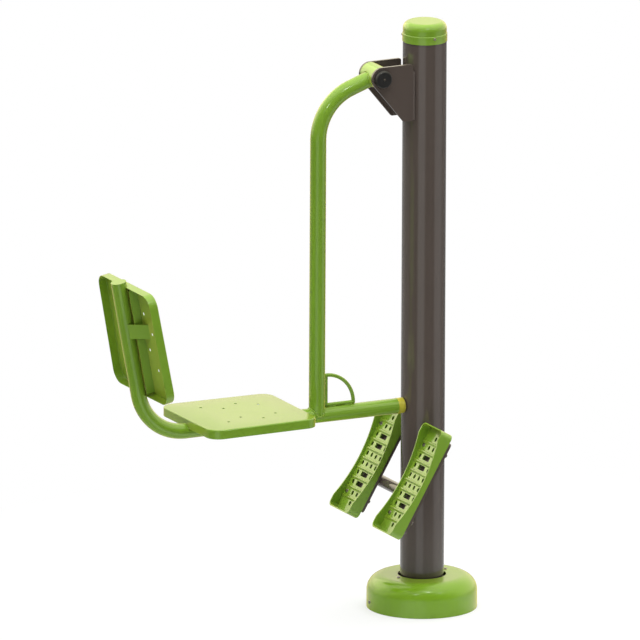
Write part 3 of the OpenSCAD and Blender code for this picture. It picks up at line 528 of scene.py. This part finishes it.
def make_pans():
    pressed_pan("seat_pan_pressed", "seat_pan", SEAT_LENGTH,
                placed(Vector((SEAT_X, 0, BEAM_Z + PAN_DROP)), Vector((1, 0, 0)),
                       Vector((0, 0, 1))))
    turn = math.radians(90) - LEAN
    bend_end = Vector((BEND_X - BEND_R * math.sin(turn), 0,
                       BEAM_Z + BEND_R * (1 - math.cos(turn))))
    up = BACK_TUBE - BACK_TOP_GAP - BACK_LENGTH / 2
    pressed_pan("back_pan_pressed", "back_pan", BACK_LENGTH,
                placed(bend_end + UP_BACK * up + TO_SITTER * PAN_DROP, UP_BACK, TO_SITTER))


# Floor, light and camera

FLOOR_R, FLOOR_SIDES, FLOOR_SINK = 14.0, 96, 0.0004
FLOOR_TONES = [(0.3, (0.80, 0.80, 0.79)), (0.7, (0.83, 0.83, 0.82))]
# The white that hides the floor from the camera has this share near the origin, and all of it
# further out
NEAR_SHARE, NEAR_R, FAR_R = 0.6, 0.4, 1.8
# Painted reflection: how bright the floor glows by direction for gloss rays only, in bands that
# the gloss mirrors as it would strip lights. Directions are shares of a turn that starts at the
# seat's side and goes by the near side.
SECTORS = (
    (0.0, 0.02), (0.083, 0.02), (0.098, 0.60), (0.178, 0.60), (0.203, 0.02), (0.33, 0.02),
    (0.36, 0.52), (0.435, 0.52), (0.475, 0.22), (0.56, 0.16), (0.62, 0.26), (0.78, 0.38),
    (0.86, 0.28), (0.90, 0.15), (0.93, 0.20), (0.96, 0.02),
)

FILL = 0.16  # the world's even light on matt surfaces
# The mirrored world is bright this way and dim the other way, and slightly warm
BRIGHT_WAY = (0.40, 0.80, 0.45)
DIM, DIM_UNTIL, BRIGHT_FROM = 0.14, -0.45, 0.30
WARM = (1.42, 1.30, 1.00)

# Lamps: name, place, aim, width, height, watts, tint, and whether only the gloss shows it
LAMPS = (
    ("overhead", (-0.5, 0.2, 7.0), (-0.5, 0, 0.6), 11.0, 10.0, 1330, WHITE, False),
    ("front_left", (-4.2, -3.6, 2.6), (-0.5, 0, 0.8), 2.4, 3.0, 8, WHITE, False),
    ("right", (2.8, -3.4, 1.8), (-0.2, 0, 0.9), 1.4, 3.0, 5, WHITE, False),
    ("rim_left", (-2.6, 6.4, 4.2), (0, 0, 1.0), 7.0, 4.4, 105, (1.0, 0.93, 0.55), True),
    ("glint_0", (-3.0, -3.5, 4.2), (-0.2, 0, 0.8), 0.7, 0.35, 12, WHITE, True),
    ("glint_1", (-0.4, -2.8, 4.6), (-0.2, 0, 0.8), 0.7, 0.35, 12, WHITE, True),
    ("glint_2", (1.6, -4.2, 4.4), (-0.2, 0, 0.8), 0.7, 0.35, 12, WHITE, True),
)

# The photo's view: how far it is turned, looks down and is tipped, its size in pixels, metres
# to a pixel, and the pixel of the frame's origin
VIEW_TURN, VIEW_DOWN, VIEW_TIP = (math.radians(v) for v in (26.478, 14.380, 0.309))
PICTURE, PIXEL = 640, 3.2018 / 1000
ORIGIN_PX, ORIGIN_PY = 421.72, 605.25
CAMERA_AWAY, CLIP_NEAR, CLIP_FAR = 12.0, 0.1, 60.0


def floor_material():
    g = Graph(bpy.data.materials.new("studio_floor"))
    ray = g.node("ShaderNodeLightPath", {}).outputs
    matt = g.node("ShaderNodeBsdfDiffuse", {"Color": g.ramp(g.noise(3.0, 4.0), FLOOR_TONES)})
    place = g.node("ShaderNodeSeparateXYZ", {0: g.coords()}).outputs
    turn = g.spread(g.calc("ARCTAN2", place["Y"], place["X"]), 0.0, 1.0, -math.pi, math.pi)
    # Painted reflection: for gloss rays the floor glows in these bands, and for the camera it is
    # plain white
    sector = g.ramp(turn, [(way, (v, v, v)) for way, v in SECTORS])
    glow = g.node("ShaderNodeEmission", {"Strength": g.calc(
        "MULTIPLY_ADD", ray["Is Glossy Ray"], sector, ray["Is Camera Ray"])})
    radius = g.node("ShaderNodeVectorMath", {0: g.coords()}, operation="LENGTH")
    share = g.calc("MULTIPLY", g.calc("MAXIMUM", ray["Is Camera Ray"], ray["Is Glossy Ray"]),
                   g.spread(radius.outputs["Value"], NEAR_SHARE, 1.0, NEAR_R, FAR_R))
    return g.finish(g.blend(share, matt.outputs[0], glow.outputs[0]))


def make_floor():
    bm = bmesh.new()
    bmesh.ops.create_circle(bm, cap_ends=True, radius=FLOOR_R, segments=FLOOR_SIDES)
    ob = new_object("studio_floor", bm)
    ob.data.materials.append(floor_material())
    ob.location = (0, 0, -FLOOR_SINK)


def make_world():
    """An even light for matt surfaces, a bright and a dim side for the gloss, and white behind."""
    scene.world = bpy.data.worlds.new("studio")
    g = Graph(scene.world, "ShaderNodeOutputWorld")
    ray = g.node("ShaderNodeLightPath", {}).outputs
    facing = g.node("ShaderNodeVectorMath", {0: g.coords("Generated"), 1: BRIGHT_WAY},
                    operation="DOT_PRODUCT")
    room = g.spread(facing.outputs["Value"], DIM, 1.0, DIM_UNTIL, BRIGHT_FROM,
                    interpolation_type="SMOOTHSTEP")
    fill = g.node("ShaderNodeBackground", {"Color": WHITE, "Strength": FILL})
    seen = g.node("ShaderNodeBackground", {
        "Color": g.mix(ray["Is Camera Ray"], WARM, WHITE),
        "Strength": g.calc("MAXIMUM", ray["Is Camera Ray"], room)})
    sees = g.calc("MAXIMUM", g.calc("MAXIMUM", ray["Is Camera Ray"], ray["Is Glossy Ray"]),
                  ray["Is Transmission Ray"])
    g.finish(g.blend(sees, fill.outputs[0], seen.outputs[0]))


def make_lights():
    for name, place, aim, width, height, watts, tint, gloss_only in LAMPS:
        data = bpy.data.lights.new(name, "AREA")
        data.shape = "RECTANGLE"
        data.size, data.size_y, data.energy, data.color = width, height, watts, tint
        ob = bpy.data.objects.new(name, data)
        ob.location = place
        ob.rotation_mode = "QUATERNION"
        ob.rotation_quaternion = (Vector(aim) - Vector(place)).to_track_quat("-Z", "Y")
        ob.visible_glossy = gloss_only
        ob.visible_diffuse = not gloss_only
        ob.visible_camera = False
        scene.collection.objects.link(ob)


def make_camera():
    """A parallel view that lays the frame's origin on its pixel of the photo."""
    level = Vector((math.cos(VIEW_TURN), -math.sin(VIEW_TURN), 0))
    back = Vector((-math.sin(VIEW_TURN) * math.cos(VIEW_DOWN),
                   -math.cos(VIEW_TURN) * math.cos(VIEW_DOWN), math.sin(VIEW_DOWN)))
    steep = back.cross(level)
    right = level * math.cos(VIEW_TIP) + steep * math.sin(VIEW_TIP)
    up = steep * math.cos(VIEW_TIP) - level * math.sin(VIEW_TIP)
    aim = (right * (PICTURE / 2 - ORIGIN_PX) + up * (ORIGIN_PY - PICTURE / 2)) * PIXEL
    data = bpy.data.cameras.new("camera")
    data.type = "ORTHO"
    data.ortho_scale = PIXEL * PICTURE
    data.clip_start, data.clip_end = CLIP_NEAR, CLIP_FAR
    ob = bpy.data.objects.new("camera", data)
    ob.matrix_world = (Matrix.Translation(aim + back * CAMERA_AWAY)
                       @ Matrix((right, up, back)).transposed().to_4x4())
    scene.collection.objects.link(ob)
    scene.camera = ob


dress_nodes()
round_edges()
weld_arm_to_hub()
weld_arm_to_beam()
welds_of_brace()
make_pans()
make_floor()
make_world()
make_lights()
make_camera()
